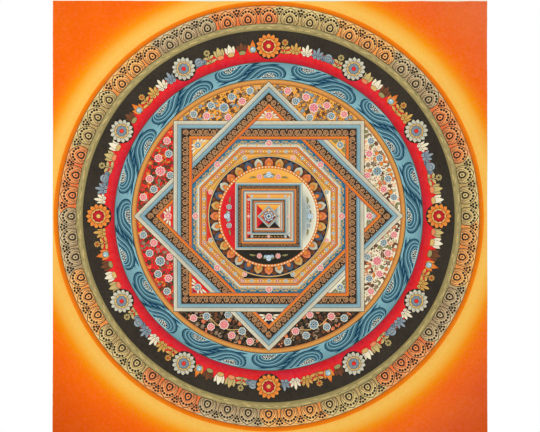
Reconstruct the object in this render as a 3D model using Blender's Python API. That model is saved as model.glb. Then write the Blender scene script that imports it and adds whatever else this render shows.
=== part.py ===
"""A painted cotton canvas, hung flat by its top edge: one thin sheet in metres, +Z up.

The origin is the middle of the top edge, on the back of the cloth. +X runs across, +Y points to
the wall and the painted face looks towards -Y.
"""

from collections import namedtuple
from math import cos, exp, pi, sin

import bmesh
import bpy

# The cut size of the canvas, and how thick it is with its priming and paint.
WIDTH = 0.700
DROP = 0.697
THICKNESS = 0.001

# The strip along the top that lies flat against its support, and the length over which the cloth
# below it comes free and takes on its ripples.
TOP_STRIP = 0.026
FREE_AFTER = 0.140

# The cloth is modelled in cells of about 25 mm.
CELLS_ACROSS = 28
CELLS_DOWN = 28

# Shallow ripples that run down the cloth. Pitch is from crest to crest across the cloth, shift
# moves the crests sideways, lean is how far they drift sideways from top to bottom, and rise is
# how far a crest stands off the wall.
Ripple = namedtuple("Ripple", "pitch shift lean rise")
RIPPLES = (
    Ripple(pitch=0.430, shift=0.060, lean=0.085, rise=0.0018),
    Ripple(pitch=0.262, shift=-0.035, lean=-0.050, rise=0.0010),
    Ripple(pitch=0.158, shift=0.020, lean=0.032, rise=0.0005),
)

# The lower corners keep a little of the curl they had when the cloth was rolled up. Side is -1
# for the left corner and 1 for the right one, and reach is how far in the curl is felt.
Curl = namedtuple("Curl", "side rise reach")
CURLS = (
    Curl(side=-1, rise=0.0042, reach=0.085),
    Curl(side=1, rise=0.0028, reach=0.070),
)
HEM_CURL_RISE = 0.0012
HEM_CURL_REACH = 0.060

# The hand-cut edges wander by a fraction of a millimetre. Wave is the length of one wander.
Wander = namedtuple("Wander", "wave shift size")
LEFT_EDGE = (Wander(wave=0.310, shift=0.020, size=0.00030), Wander(0.092, 0.050, 0.00010))
RIGHT_EDGE = (Wander(wave=0.265, shift=0.110, size=0.00025), Wander(0.117, 0.010, 0.00012))
LOWER_EDGE = (Wander(wave=0.380, shift=0.070, size=0.00035), Wander(0.131, 0.030, 0.00012))

# The painted face as seen from across a room.
PAINT_COLOUR = (0.78, 0.33, 0.07, 1.0)
PAINT_ROUGHNESS = 0.72


def eased(share):
    """0 below 0, 1 above 1 and a smooth step between."""
    share = min(max(share, 0.0), 1.0)
    return share * share * (3.0 - 2.0 * share)


def wander(edge, along):
    """How far a cut edge lies from its straight line."""
    return sum(w.size * sin(2 * pi * (along + w.shift) / w.wave) for w in edge)


def stand_off(across, down):
    """How far the back of the cloth stands off the wall at a point of it."""
    fall = down / DROP
    ripples = sum(
        0.5 * r.rise * (1 - cos(2 * pi * (across - r.shift - r.lean * fall) / r.pitch))
        for r in RIPPLES
    )
    corners = sum(
        c.rise * exp(-(((across - c.side * WIDTH / 2) ** 2 + (DROP - down) ** 2) / c.reach**2))
        for c in CURLS
    )
    hem = HEM_CURL_RISE * exp(-((DROP - down) / HEM_CURL_REACH) ** 2)
    return eased((down - TOP_STRIP) / FREE_AFTER) * (ripples + corners + hem)


def hung_point(across, down):
    """A point of the flat cut cloth, moved to where it is when the cloth hangs."""
    right_share = across / WIDTH + 0.5
    x = across
    x += wander(RIGHT_EDGE, down) * right_share
    x -= wander(LEFT_EDGE, down) * (1 - right_share)
    z = -down - wander(LOWER_EDGE, across) * down / DROP
    return x, -stand_off(across, down), z


def paint():
    """The painted face's colour, dull and without any metal."""
    material = bpy.data.materials.new("painted_canvas")
    material.use_nodes = True
    shader = material.node_tree.nodes["Principled BSDF"]
    shader.inputs["Base Color"].default_value = PAINT_COLOUR
    shader.inputs["Roughness"].default_value = PAINT_ROUGHNESS
    shader.inputs["Metallic"].default_value = 0.0
    return material


def canvas_sheet():
    """The back of the cloth as a grid, thickened towards the painted face."""
    bm = bmesh.new()
    bmesh.ops.create_grid(bm, x_segments=CELLS_ACROSS, y_segments=CELLS_DOWN, size=0.5)
    for vert in bm.verts:
        across = vert.co.x * WIDTH
        down = (0.5 - vert.co.y) * DROP
        vert.co = hung_point(across, down)
    bm.normal_update()
    mesh = bpy.data.meshes.new("painted_canvas")
    bm.to_mesh(mesh)
    bm.free()
    mesh.shade_smooth()

    sheet = bpy.data.objects.new("painted_canvas", mesh)
    sheet.data.materials.append(paint())
    bpy.context.collection.objects.link(sheet)

    thicken = sheet.modifiers.new("thickness", "SOLIDIFY")
    thicken.thickness = THICKNESS
    thicken.offset = 1.0
    thicken.use_even_offset = True
    return sheet


def main():
    for old in list(bpy.data.objects):
        bpy.data.objects.remove(old, do_unlink=True)
    canvas_sheet()


main()
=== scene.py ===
"""A painted cotton canvas hung by its top edge, with a round mandala of nested bands.

The painting is laid shape over shape in millimetres, as a painter lays colour over colour, and the
cloth's front is then cut along every outline, so that each face wears the pigment on top.
"""

import random
from collections import namedtuple
from functools import cache
from math import ceil, cos, exp, hypot, pi, radians, sin, sqrt, tan

import bpy
from mathutils.bvhtree import BVHTree
from mathutils.geometry import delaunay_2d_cdt
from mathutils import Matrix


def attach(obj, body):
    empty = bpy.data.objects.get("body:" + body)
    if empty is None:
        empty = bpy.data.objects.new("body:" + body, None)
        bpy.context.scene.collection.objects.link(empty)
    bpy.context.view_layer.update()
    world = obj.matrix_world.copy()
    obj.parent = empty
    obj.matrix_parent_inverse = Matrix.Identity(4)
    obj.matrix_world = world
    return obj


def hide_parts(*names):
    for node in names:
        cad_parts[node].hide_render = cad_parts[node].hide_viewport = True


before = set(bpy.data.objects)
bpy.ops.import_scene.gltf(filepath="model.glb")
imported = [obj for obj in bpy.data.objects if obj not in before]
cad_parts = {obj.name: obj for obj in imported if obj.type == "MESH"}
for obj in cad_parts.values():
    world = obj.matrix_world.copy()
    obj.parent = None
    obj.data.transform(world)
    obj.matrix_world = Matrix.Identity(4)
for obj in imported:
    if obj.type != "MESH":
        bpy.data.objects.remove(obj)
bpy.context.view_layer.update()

MM = 0.001
random.seed(47)

# ---------------- the cloth, as it hangs

WIDTH = 0.700
DROP = 0.697
THICKNESS = 0.001
TOP_STRIP = 0.026
FREE_AFTER = 0.140

Ripple = namedtuple("Ripple", "pitch shift lean rise")
RIPPLES = (
    Ripple(pitch=0.430, shift=0.060, lean=0.085, rise=0.0018),
    Ripple(pitch=0.262, shift=-0.035, lean=-0.050, rise=0.0010),
    Ripple(pitch=0.158, shift=0.020, lean=0.032, rise=0.0005),
)
Curl = namedtuple("Curl", "side rise reach")
CURLS = (
    Curl(side=-1, rise=0.0042, reach=0.085),
    Curl(side=1, rise=0.0028, reach=0.070),
)
HEM_CURL_RISE = 0.0012
HEM_CURL_REACH = 0.060

Wander = namedtuple("Wander", "wave shift size")
LEFT_EDGE = (Wander(0.310, 0.020, 0.00030), Wander(0.092, 0.050, 0.00010))
RIGHT_EDGE = (Wander(0.265, 0.110, 0.00025), Wander(0.117, 0.010, 0.00012))
LOWER_EDGE = (Wander(0.380, 0.070, 0.00035), Wander(0.131, 0.030, 0.00012))

# The middle of the medallion on the cloth, across from its middle and down from its top edge.
CENTRE_ACROSS = -0.0019
CENTRE_DOWN = 0.3474
# The cloth's left and lower edges in the painting's own millimetres, from that middle.
LEFT = -(WIDTH / 2 + CENTRE_ACROSS) / MM
LOW = -(DROP - CENTRE_DOWN) / MM


def eased(share):
    """0 below 0, 1 above 1 and a smooth step between."""
    share = min(max(share, 0.0), 1.0)
    return share * share * (3.0 - 2.0 * share)


def wander(edge, along):
    """How far a cut edge lies from its straight line."""
    return sum(w.size * sin(2 * pi * (along + w.shift) / w.wave) for w in edge)


def stand_off(across, down):
    """How far the back of the cloth stands off the wall at a point of it."""
    fall = down / DROP
    ripples = sum(
        0.5 * r.rise * (1 - cos(2 * pi * (across - r.shift - r.lean * fall) / r.pitch))
        for r in RIPPLES
    )
    corners = sum(
        c.rise * exp(-(((across - c.side * WIDTH / 2) ** 2 + (DROP - down) ** 2) / c.reach**2))
        for c in CURLS
    )
    hem = HEM_CURL_RISE * exp(-((DROP - down) / HEM_CURL_REACH) ** 2)
    return eased((down - TOP_STRIP) / FREE_AFTER) * (ripples + corners + hem)


def hung_point(across, down, lift):
    """A point of the flat cut cloth where it hangs, lift in front of the back of the cloth."""
    right_share = across / WIDTH + 0.5
    x = across
    x += wander(RIGHT_EDGE, down) * right_share
    x -= wander(LEFT_EDGE, down) * (1 - right_share)
    z = -down - wander(LOWER_EDGE, across) * down / DROP
    return x, -stand_off(across, down) - lift, z


# ---------------- painting tools

CIRCLE_CORNERS = 240
LINE = 0.80
FINE_LINE = 0.58
THINNEST = 0.03
MITRE_LIMIT = 2.2
TINY = 1e-9

Shape = namedtuple("Shape", "pigment wash load")
Fade = namedtuple("Fade", "start end")
RoundFade = namedtuple("RoundFade", "none full x y", defaults=(0.0, 0.0))
RibFade = namedtuple("RibFade", "outline eye scale next_scale wash next_wash")


def wash_at(wash, x, y):
    """How much of the wash colour lies at a point, from 0 to 1."""
    if isinstance(wash, Fade):
        dx, dy = wash.end[0] - wash.start[0], wash.end[1] - wash.start[1]
        share = ((x - wash.start[0]) * dx + (y - wash.start[1]) * dy) / (dx * dx + dy * dy)
    elif isinstance(wash, RoundFade):
        share = (hypot(x - wash.x, y - wash.y) - wash.none) / (wash.full - wash.none)
    elif isinstance(wash, RibFade):
        depth = (wash.scale - scale_at(wash, x, y)) / (wash.scale - wash.next_scale)
        share = wash.wash + (wash.next_wash - wash.wash) * min(max(depth, 0.0), 1.0)
    else:
        share = wash
    return min(max(share, 0.0), 1.0)


def scale_at(rib, x, y):
    """How far a point lies from the eye of nested outlines, as a share of the way to the widest."""
    px, py = x - rib.eye[0], y - rib.eye[1]
    for (ax, ay), (bx, by) in sides_of(rib.outline):
        ax, ay, bx, by = ax - rib.eye[0], ay - rib.eye[1], bx - rib.eye[0], by - rib.eye[1]
        span = px * (by - ay) - py * (bx - ax)
        if abs(span) < TINY:
            continue
        reach = (ax * (by - ay) - ay * (bx - ax)) / span
        along = (ax * py - ay * px) / span
        if reach > 0 and -0.001 <= along <= 1.001:
            return 1 / reach
    return 1.0


def sides_of(outline):
    """The two ends of each side of an outline."""
    return zip(outline, outline[1:] + outline[:1])


def signed_area(outline):
    """Twice the area of an outline, positive where it runs against the clock."""
    return sum(ax * by - bx * ay for (ax, ay), (bx, by) in sides_of(outline))


def against_clock(outline):
    """The same outline, turned round if it runs with the clock."""
    return outline[::-1] if signed_area(outline) < 0 else outline


class Painting:
    """The shapes laid on the flat cloth, the first one lowest."""

    def __init__(self):
        self.points, self.outlines, self.shapes = [], [], []

    def lay(self, outline, pigment, wash=0.0):
        """One flat shape of one pigment, with a wash of its second colour."""
        first = len(self.points)
        self.points.extend(against_clock(outline))
        self.outlines.append(range(first, len(self.points)))
        self.shapes.append(Shape(pigment, wash, random.uniform(-1, 1)))


class Hand:
    """The place, turn and size at which a motif is painted. v is the motif's own up, and bend is the
    radius of the ring that a long motif follows, or 0 for a straight one."""

    def __init__(self, painting, x=0.0, y=0.0, turn=0.0, size=1.0, flip=1, bend=0.0, rise=1):
        self.painting, self.x, self.y, self.turn = painting, x, y, turn
        self.size, self.flip, self.bend, self.rise = size, flip, bend, rise

    def at(self, u, v):
        """A point of the motif on the cloth."""
        u, v = u * self.size * self.flip, v * self.size
        if self.bend:
            angle = self.turn + pi / 2 - u / self.bend
            radius = self.bend + v * self.rise
            return radius * cos(angle), radius * sin(angle)
        c, s = cos(self.turn), sin(self.turn)
        return self.x + u * c - v * s, self.y + u * s + v * c

    def moved(self, u, v, turn=0.0, size=1.0, flip=1):
        """A straight hand for a motif on this one, turned against the clock by turn degrees."""
        x, y = self.at(u, v)
        lean = u * self.size * self.flip / self.bend if self.bend else 0.0
        turned = self.turn - lean + self.flip * radians(turn)
        return Hand(self.painting, x, y, turned, self.size * size, self.flip * flip)

    def fill(self, outline, pigment, fade=None, wash=0.0):
        """A shape. fade gives the two heights between which its wash comes in."""
        if fade:
            wash = Fade(self.at(0, fade[0]), self.at(0, fade[1]))
        self.painting.lay([self.at(u, v) for u, v in outline], pigment, wash)

    def edged(self, outline, pigment, line=FINE_LINE, fade=None, wash=0.0, ink="ink"):
        """A shape with a drawn line round it."""
        self.fill(swollen(outline, line), ink)
        self.fill(outline, pigment, fade, wash)

    def dot(self, u, v, radius, pigment, corners):
        self.fill(disc(radius, corners, u, v), pigment)

    def brush(self, points, width, pigment, swell="leaf", wash=0.0):
        """One brush stroke along a path."""
        self.fill(stroke(points, width, swell), pigment, wash=wash)


def on_ring(painting, radius, degrees, size=1.0, flip=1, bent=False, upright=True):
    """A hand on a ring of the medallion, whose up points outwards, or inwards if not upright."""
    turn = radians(degrees) - pi / 2
    if bent or not upright:
        return Hand(painting, turn=turn, size=size, flip=flip, bend=radius, rise=1 if upright else -1)
    x, y = radius * cos(radians(degrees)), radius * sin(radians(degrees))
    return Hand(painting, x, y, turn, size, flip)


def round_ring(painting, radius, count, shift=0.0):
    """Hands spread evenly round a ring, each with its number."""
    for k in range(count):
        yield k, on_ring(painting, radius, 360 / count * (k + shift))


def disc(radius, corners=CIRCLE_CORNERS, u=0.0, v=0.0):
    """The outline of a round shape."""
    step = 2 * pi / corners
    return [(u + radius * cos(step * k), v + radius * sin(step * k)) for k in range(corners)]


def bezier(a, b, c, d, steps):
    """Points of a cubic curve, without its last one."""
    points = []
    for k in range(steps):
        t = k / steps
        s = 1 - t
        shares = (s**3, 3 * s * s * t, 3 * s * t * t, t**3)
        points.append(tuple(sum(w * p[i] for w, p in zip(shares, (a, b, c, d))) for i in (0, 1)))
    return points


def path(start, *legs, steps=4):
    """Cubic curves joined end to end, each leg given as two handles and its end."""
    points = []
    for b, c, d in legs:
        points += bezier(start, b, c, d, steps)
        start = d
    return points + [start]


def petal(length, width, base, belly, tip, steps=3):
    """A petal that stands on its base: belly is the height of its widest place, and tip is how
    full it stays near its point."""
    half = width / 2
    right = path(
        (half * base, 0),
        ((half, 0.05 * length), (half, (belly - 0.2) * length), (half, belly * length)),
        ((half, (belly + 0.25) * length), (half * tip, 0.86 * length), (0, length)),
        steps=steps,
    )
    return right + [(-u, v) for u, v in reversed(right[:-1])]


def swollen(outline, by):
    """The outline pushed outwards by a drawn line's width."""
    outline = against_clock(outline)
    pushed = []
    for k, (u, v) in enumerate(outline):
        before, after = outline[k - 1], outline[(k + 1) % len(outline)]
        in_u, in_v = u - before[0], v - before[1]
        out_u, out_v = after[0] - u, after[1] - v
        in_long, out_long = hypot(in_u, in_v) or 1.0, hypot(out_u, out_v) or 1.0
        nu = in_v / in_long + out_v / out_long
        nv = -in_u / in_long - out_u / out_long
        long = hypot(nu, nv) or 1.0
        reach = by * min(2.0 / long, MITRE_LIMIT)
        pushed.append((u + nu / long * reach, v + nv / long * reach))
    return pushed


BRUSH_SWELLS = {
    "leaf": lambda s: max(sin(pi * s), 0.0) ** 0.8,
    "tail": lambda s: (1 - s) ** 0.6,
    "even": lambda s: 1.0,
}


def stroke(points, width, swell):
    """The outline of one brush stroke along a path."""
    right, left = [], []
    last = len(points) - 1
    for k, (u, v) in enumerate(points):
        before, after = points[max(k - 1, 0)], points[min(k + 1, last)]
        du, dv = after[0] - before[0], after[1] - before[1]
        long = hypot(du, dv)
        half = width / 2 * BRUSH_SWELLS[swell](k / last)
        if half < THINNEST:
            right.append((u, v))
            continue
        right.append((u + dv / long * half, v - du / long * half))
        left.append((u - dv / long * half, v + du / long * half))
    return right + left[::-1]


def spiral(outer, inner, turns, start, corners, u=0.0, v=0.0):
    """A path that winds in from outer to inner radius. start is its first angle in degrees."""
    count = ceil(abs(turns) * corners)
    found = []
    for k in range(count + 1):
        share = k / count
        radius = outer + (inner - outer) * share
        angle = radians(start) + 2 * pi * turns * share
        found.append((u + radius * cos(angle), v + radius * sin(angle)))
    return found


# ---------------- motifs


def flower(hand, radius, body, heart, petals=7, line=FINE_LINE, vein="cream"):
    """A round open flower of one lobed outline, its rim and the veins of its petals in one colour."""
    lobes = []
    for k in range(petals * 3):
        reach = radius * (0.80, 1.0, 1.0)[k % 3]
        angle = 2 * pi * (k + (0, -0.12, 0.12)[k % 3]) / (petals * 3)
        lobes.append((reach * cos(angle), reach * sin(angle)))
    x, y = hand.at(0, 0)
    size = radius * hand.size
    hand.edged(lobes, body, line, wash=RoundFade(size * 1.7, size * 0.4, x, y), ink=vein)
    for k in range(petals):
        one = hand.moved(0, 0, 360 / petals * k - 90)
        one.brush([(0, radius * reach) for reach in (0.3, 0.5, 0.84)], 0.6, vein)
    hand.edged(disc(radius * 0.24, 6), heart, line * 0.8, ink=vein)


def leaf(hand, length, width, pigment, line=0.0):
    """A leaf that leans a little to its right."""
    spine = path((0, 0), ((0, length * 0.4), (length * 0.1, length * 0.7), (length * 0.3, length)))
    outline = stroke(spine, width, "leaf")
    if line:
        hand.edged(outline, pigment, line, (length, 0))
    else:
        hand.fill(outline, pigment, (length, 0))


def bud(hand, height, body, cup):
    """A lotus bud: two side petals, one in front, and a cup."""
    for side in (-1, 1):
        one = hand.moved(side * height * 0.06, height * 0.12, -side * 24)
        one.edged(petal(height * 0.72, height * 0.34, 0.3, 0.5, 0.3, 2), body, fade=(0, height))
    hand.edged(petal(height * 0.95, height * 0.42, 0.4, 0.45, 0.3, 2), body, fade=(height, 0))
    hand.edged(petal(height * 0.3, height * 0.5, 0.5, 0.5, 0.9, steps=2), cup)


def rosette(hand, radius, outer, inner, heart, petals):
    """A lotus seen from above, with two rounds of petals."""
    hand.fill(disc(radius * 1.06, 28), "ink")
    width = 2 * radius * tan(pi / petals) * 0.86
    for k in range(petals):
        one = hand.moved(0, 0, 360 / petals * k)
        one.edged(petal(radius, width, 0.3, 0.66, 0.55, 2), outer, fade=(radius, radius * 0.4))
    hand.edged(disc(radius * 0.58, 20), "gold")
    count = petals * 2 // 3
    width = 2 * radius * 0.5 * tan(pi / count) * 0.9
    for k in range(count):
        one = hand.moved(0, 0, 360 / count * (k + 0.5))
        one.edged(petal(radius * 0.5, width, 0.3, 0.6, 0.8, steps=2), inner, 0.35, (0, radius * 0.5))
    hand.edged(disc(radius * 0.17, 9), heart)


def cloud(hand, size, body, ink="ink"):
    """Three curls of cloud over a flat foot."""
    for u, v, r in ((-0.42, 0.2, 0.26), (0.4, 0.22, 0.24), (0.0, 0.42, 0.34)):
        hand.edged(disc(size * r, 10, size * u, size * v), body, fade=(size * 0.8, 0), ink=ink)
    foot = petal(size * 0.5, size * 0.9, 0.3, 0.5, 0.8, steps=2)
    hand.edged(foot, body, fade=(size * 0.5, 0), ink=ink)
    for u, v, r in ((-0.4, 0.22, 0.17), (0.38, 0.24, 0.15), (0.0, 0.44, 0.22)):
        curl = spiral(size * r, size * r * 0.3, 1.1, 200, 7, size * u, size * v)
        hand.brush(curl, 0.7, ink, "tail")


def jewel(hand, height, body, flame):
    """A round jewel in a three-tongued flame."""
    for turn, long in ((-34, 0.72), (34, 0.72), (0, 1.0)):
        one = hand.moved(0, height * 0.1, turn)
        tongue = petal(height * long * 0.9, height * 0.36, 0.4, 0.4, 0.2)
        one.edged(tongue, flame, fade=(height * 0.2, height * 0.9))
    hand.edged(disc(height * 0.2, 10, 0, height * 0.3), body)
    hand.dot(-height * 0.05, height * 0.36, height * 0.06, "cream", 5)


def sprig(hand, height, body, heart):
    """An upright stem with two pairs of leaves and a small flower."""
    stem = stroke([(0, 0), (height * 0.02, height * 0.3), (0, height * 0.7)], height * 0.06, "even")
    hand.edged(stem, body)
    for v, turn, long in ((0.04, 62, 0.5), (0.30, 48, 0.42)):
        for side in (-1, 1):
            one = hand.moved(0, height * v, -side * turn, flip=side)
            leaf(one, height * long, height * 0.2, body, FINE_LINE)
    flower(hand.moved(0, height * 0.78), height * 0.22, body, heart, vein="ink")


def palmette(hand, height, body):
    """A fan of five leaves on two curls."""
    for turn, long in ((66, 0.62), (-66, 0.62), (34, 0.84), (-34, 0.84), (0, 1.0)):
        one = hand.moved(0, height * 0.1, turn)
        blade = petal(height * long * 0.88, height * 0.24, 0.3, 0.62, 0.6, steps=2)
        one.edged(blade, body, fade=(height, 0))
    for side in (-1, 1):
        one = hand.moved(side * height * 0.16, height * 0.1, flip=side)
        one.edged(disc(height * 0.13, 8), body)
        one.dot(0, 0, height * 0.05, "ink", 5)


# ---------------- the medallion, band by band

Band = namedtuple("Band", "outer pigment wash line ink")
RIM = 346.4
PETALS_OUT = 338.6
CORD_OUT = 310.4
NIGHT_OUT = 298.6
RED_OUT = 274.0
SEA_OUT = 248.0
GOLD_OUT = 220.8
FIELD_OUT = 212.2

# Each band's outer radius, pigment and wash, and the width and colour of the line round it.
BANDS = (
    Band(PETALS_OUT, "sand", RoundFade(PETALS_OUT, CORD_OUT), 0.8, "umber"),
    Band(CORD_OUT, "cord", RoundFade(306.0, 298.0), 0.8, "ink"),
    Band(NIGHT_OUT, "night", 0.0, 0.8, "ink"),
    Band(RED_OUT, "red", RoundFade(RED_OUT - 13, SEA_OUT - 3), 0.5, "umber"),
    Band(SEA_OUT, "sea", RoundFade(GOLD_OUT - 4, SEA_OUT + 46), 0.5, "umber"),
    Band(GOLD_OUT, "honey", RoundFade(GOLD_OUT, FIELD_OUT), 0.6, "ink"),
)
RING_PIECES = 8


def lay_bands(painting):
    """The rim and the round bands, each one laid over all inside it."""
    painting.lay(disc(RIM), "rim", RoundFade(RIM, PETALS_OUT))
    for band in BANDS:
        painting.lay(disc(band.outer + band.line), band.ink)
        painting.lay(disc(band.outer), band.pigment, band.wash)
    painting.lay(disc(FIELD_OUT + 0.6), "ink")


def ring(painting, outer, inner, pigment, wash=0.0):
    """A ring laid in a few sectors, so that nothing inside it is covered."""
    for k in range(RING_PIECES):
        sector(painting, outer, inner, 360 / RING_PIECES * k, pigment, wash, 180 / RING_PIECES)


def sector(painting, outer, inner, degrees, pigment, wash=0.0, half=22.5):
    """A piece of a ring, half degrees to either side of its middle."""
    corners = ceil(CIRCLE_CORNERS * half / 180)
    angles = [radians(degrees - half + 2 * half * k / corners) for k in range(corners + 1)]
    outside = [(outer * cos(a), outer * sin(a)) for a in angles]
    inside = [(inner * cos(a), inner * sin(a)) for a in reversed(angles)]
    painting.lay(outside + inside, pigment, wash)


PETAL_COUNT = 60
PETAL_FOOT = CORD_OUT + 0.5
SEGMENT_PETALS = 3
SEGMENT_COLOURS = ("greige", "brick", "ash", "apricot")
PETAL_DOTS = ((0, 24.2), (-4.2, 22.6), (4.2, 22.6), (-2.1, 18.8), (2.1, 18.8), (0, 15.2))
HAIRS = ((-11.2, 12.0), (-8.8, 8.6), (-6.4, 5.6), (6.4, 5.6), (8.8, 8.6), (11.2, 12.0))
DOT_TURNS = (-66, -40, -14, 14, 40, 66)


def petal_border(painting):
    """The outermost band: lotus petals side by side, with others behind them, dotted with black.
    Its colour changes after every third petal."""
    step = 360 / PETAL_COUNT
    colours = [SEGMENT_COLOURS[k // SEGMENT_PETALS % len(SEGMENT_COLOURS)] for k in range(PETAL_COUNT)]
    for k in range(0, PETAL_COUNT, SEGMENT_PETALS):
        middle, half = (k + (SEGMENT_PETALS - 1) / 2) * step, SEGMENT_PETALS * step / 2
        sector(painting, PETALS_OUT, CORD_OUT + 0.6, middle, colours[k], 0.1, half)
    for k, hand in round_ring(painting, PETAL_FOOT, PETAL_COUNT, 0.5):
        hand.edged(petal(27.5, 26.5, 0.5, 0.7, 0.75), colours[k], 0.6, (34, 4), ink="umber")
        for u, v in PETAL_DOTS:
            hand.dot(u, v, random.uniform(2.1, 2.4), "ink", 5)
    for k in range(PETAL_COUNT):
        hand = on_ring(painting, PETAL_FOOT, k * step + random.uniform(-0.08, 0.08))
        front_petal(hand.moved(0, 0, size=random.uniform(0.98, 1.01)), colours[k])


def front_petal(hand, body):
    """One petal with hairs at its foot, a black drop in its hollow and a row of dots."""
    hand.edged(petal(25.8, 27.6, 0.8, 0.42, 0.55, steps=4), body, 1.2, (29, -10))
    hand.edged(petal(16.6, 16.4, 0.7, 0.45, 0.5), body, 0.6, (-20, 22), ink="umber")
    for u, long in HAIRS:
        hair = [(u, 0.6), (u * 1.12, long * 0.6), (u * 0.95, long)]
        hand.brush(hair, 0.9, "umber", "even")
    hand.moved(0, 1.0).fill(petal(13.8, 12.0, 0.5, 0.5, 0.45), "ink")
    hand.moved(0, 3.6).fill(petal(8.4, 6.6, 0.5, 0.5, 0.45), body, (14, -4))
    hand.dot(0, 7.2, 1.6, "ink", 5)
    for turn in DOT_TURNS:
        hand.dot(10.6 * sin(radians(turn)), 11.0 + 9.6 * cos(radians(turn)), 2.35, "ink", 5)


CORD_STROKES = 300
CORD_COLOURS = (("straw", 0.0), ("cord", 0.9), ("straw", 0.5), ("olive", 0.7), ("straw", 0.2))
CORD_STROKE = ((-5.8, -0.5), (-1.9, 0.5), (1.9, 0.5), (5.8, -0.5))


def cord_band(painting):
    """A narrow olive band with golden strokes brushed one over the other along its middle."""
    middle = (CORD_OUT + NIGHT_OUT) / 2
    for k in range(CORD_STROKES):
        hand = on_ring(painting, middle + random.uniform(-2.6, 3.0), 360 / CORD_STROKES * k)
        hand = hand.moved(0, 0, random.uniform(-7, 7))
        colour, wash = CORD_COLOURS[k % len(CORD_COLOURS)]
        hand.brush(CORD_STROKE, random.uniform(0.9, 1.5), colour, wash=wash)
    for radius in (middle + 4.7, middle - 4.1):
        ring(painting, radius, radius - 0.6, "olive", 0.7)


Ornament = namedtuple("Ornament", "kind height colours")
ORNAMENTS = (
    Ornament(bud, 21.5, ("cream", "ochre")),
    Ornament(sprig, 23.0, ("gold", "red")),
    Ornament(palmette, 19.5, ("grey_blue",)),
    Ornament(bud, 21.5, ("straw", "coral")),
    Ornament(jewel, 22.5, ("sky", "tangerine")),
    Ornament(palmette, 19.5, ("cream",)),
    Ornament(sprig, 23.0, ("straw", "ink")),
    Ornament(bud, 21.5, ("brown", "olive")),
    Ornament(palmette, 19.5, ("gold",)),
    Ornament(cloud, 18.5, ("grey_blue",)),
)
LOTUS_COUNT = 12
ORNAMENTS_BETWEEN = 6
ORNAMENT_SKIP = 3
ORNAMENT_PITCH = 3.82


def ornament_row(painting):
    """Small buds, sprays and jewels in a row along the line between the black band and the red."""
    number = 0
    for k in range(LOTUS_COUNT):
        for j in range(ORNAMENTS_BETWEEN):
            ornament = ORNAMENTS[number % len(ORNAMENTS)]
            number += ORNAMENT_SKIP
            turn = 360 / LOTUS_COUNT * (k + 0.5) + (j - (ORNAMENTS_BETWEEN - 1) / 2) * ORNAMENT_PITCH
            turn += random.uniform(-0.15, 0.15)
            hand = on_ring(painting, RED_OUT - ornament.height * 0.5, turn)
            hand = hand.moved(0, 0, random.uniform(-2, 2), random.uniform(0.97, 1.03))
            ornament.kind(hand, ornament.height, *ornament.colours)


def lotuses(painting):
    """Twelve open lotuses on the line between the black band and the red one."""
    for k, hand in round_ring(painting, RED_OUT, LOTUS_COUNT):
        if k % 3 == 0:
            rosette(hand, 20.0, "tangerine", "red", "gold", 14)
        else:
            rosette(hand, 19.0, "stone", "grey_blue", "red", 14)


# The lines that the waves stand on, a little inside the band's edges.
OUTER_SHORE = SEA_OUT - 0.7
INNER_SHORE = GOLD_OUT + 0.7
SWELL_COUNT = 12
SWELL_SIZE = 0.94
SWELL = path(
    (-54, 0.2), ((-34, 0.5), (-32, 21), (-3, 23.5)), ((20, 25), (32, 15), (27, 5)),
    ((24, 1.0), (14, 1.0), (5, 0.8)), ((-10, 0.4), (-32, 0.3), (-54, 0.2)), steps=7,
)[:-1]
SWELL_EYE = (4.0, 2.2)
RIBS = (1.0, 0.76, 0.54, 0.34)
FOAM = (
    (-11.4, 2.7), (-7.4, 3.0), (-3.2, 2.8), (1.0, 3.0), (5.2, 2.8), (9.2, 3.1), (-7.6, 5.2), (-3.4, 5.5),
    (0.8, 5.7), (5.0, 5.6), (9.0, 5.6), (-1.4, 8.0), (2.8, 8.4), (6.8, 7.9),
)
FOAM_CURL = [(-1.6, -1.0), (-1.4, 0.6), (0.0, 1.3), (1.3, 0.4), (0.6, -0.6)]


def swell(hand):
    """One rolling wave: nested ribs of water over a patch of foam."""
    eye_u, eye_v = SWELL_EYE
    widest = [hand.at(u, v) for u, v in SWELL]
    for k, scale in enumerate(RIBS):
        rib = [(eye_u + (u - eye_u) * scale, eye_v + (v - eye_v) * scale) for u, v in SWELL]
        if scale == RIBS[-1]:
            hand.edged(rib, "navy", 1.0, wash=0.1, ink="crest")
        else:
            wash = RibFade(widest, hand.at(*SWELL_EYE), scale, RIBS[k + 1], 1.0, 0.42 + 0.08 * k)
            line, ink = (1.1, "crest") if k else (0.8, "navy")
            hand.edged(rib, "sea", line, wash=wash, ink=ink)
    for u, v in FOAM:
        hand.moved(u, v, random.uniform(-60, 60)).brush(FOAM_CURL, 1.1, "cream", "tail")


STREAM_RISES = ((2.2, 18.4), (8.0, 22.8))
# One fold's strokes, each moved on from the one below it: along, up, width, pigment and wash.
STREAM_STROKES = ((0, 0, 5.6, "navy", 0.5), (-0.9, 1.5, 3.2, "sea", 0.6), (-0.6, 1.4, 1.3, "crest", 0.0))


def stream(painting, degrees, outer):
    """The folds of the stream that sweeps up to a swell and over it, each dark below and pale above."""
    shore, side = (OUTER_SHORE, -1) if outer else (INNER_SHORE, 1)
    flow = Hand(painting, turn=radians(degrees) - pi / 2, bend=shore, rise=side, flip=side)
    for low, high in STREAM_RISES:
        line = path((-84, low), ((-56, low + 0.6), (-46, high - 2), (-8, high)), steps=7)
        for along, up, width, pigment, wash in STREAM_STROKES:
            line = [(u + along, v + up) for u, v in line]
            flow.brush(line, width, pigment, wash=wash)


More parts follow.
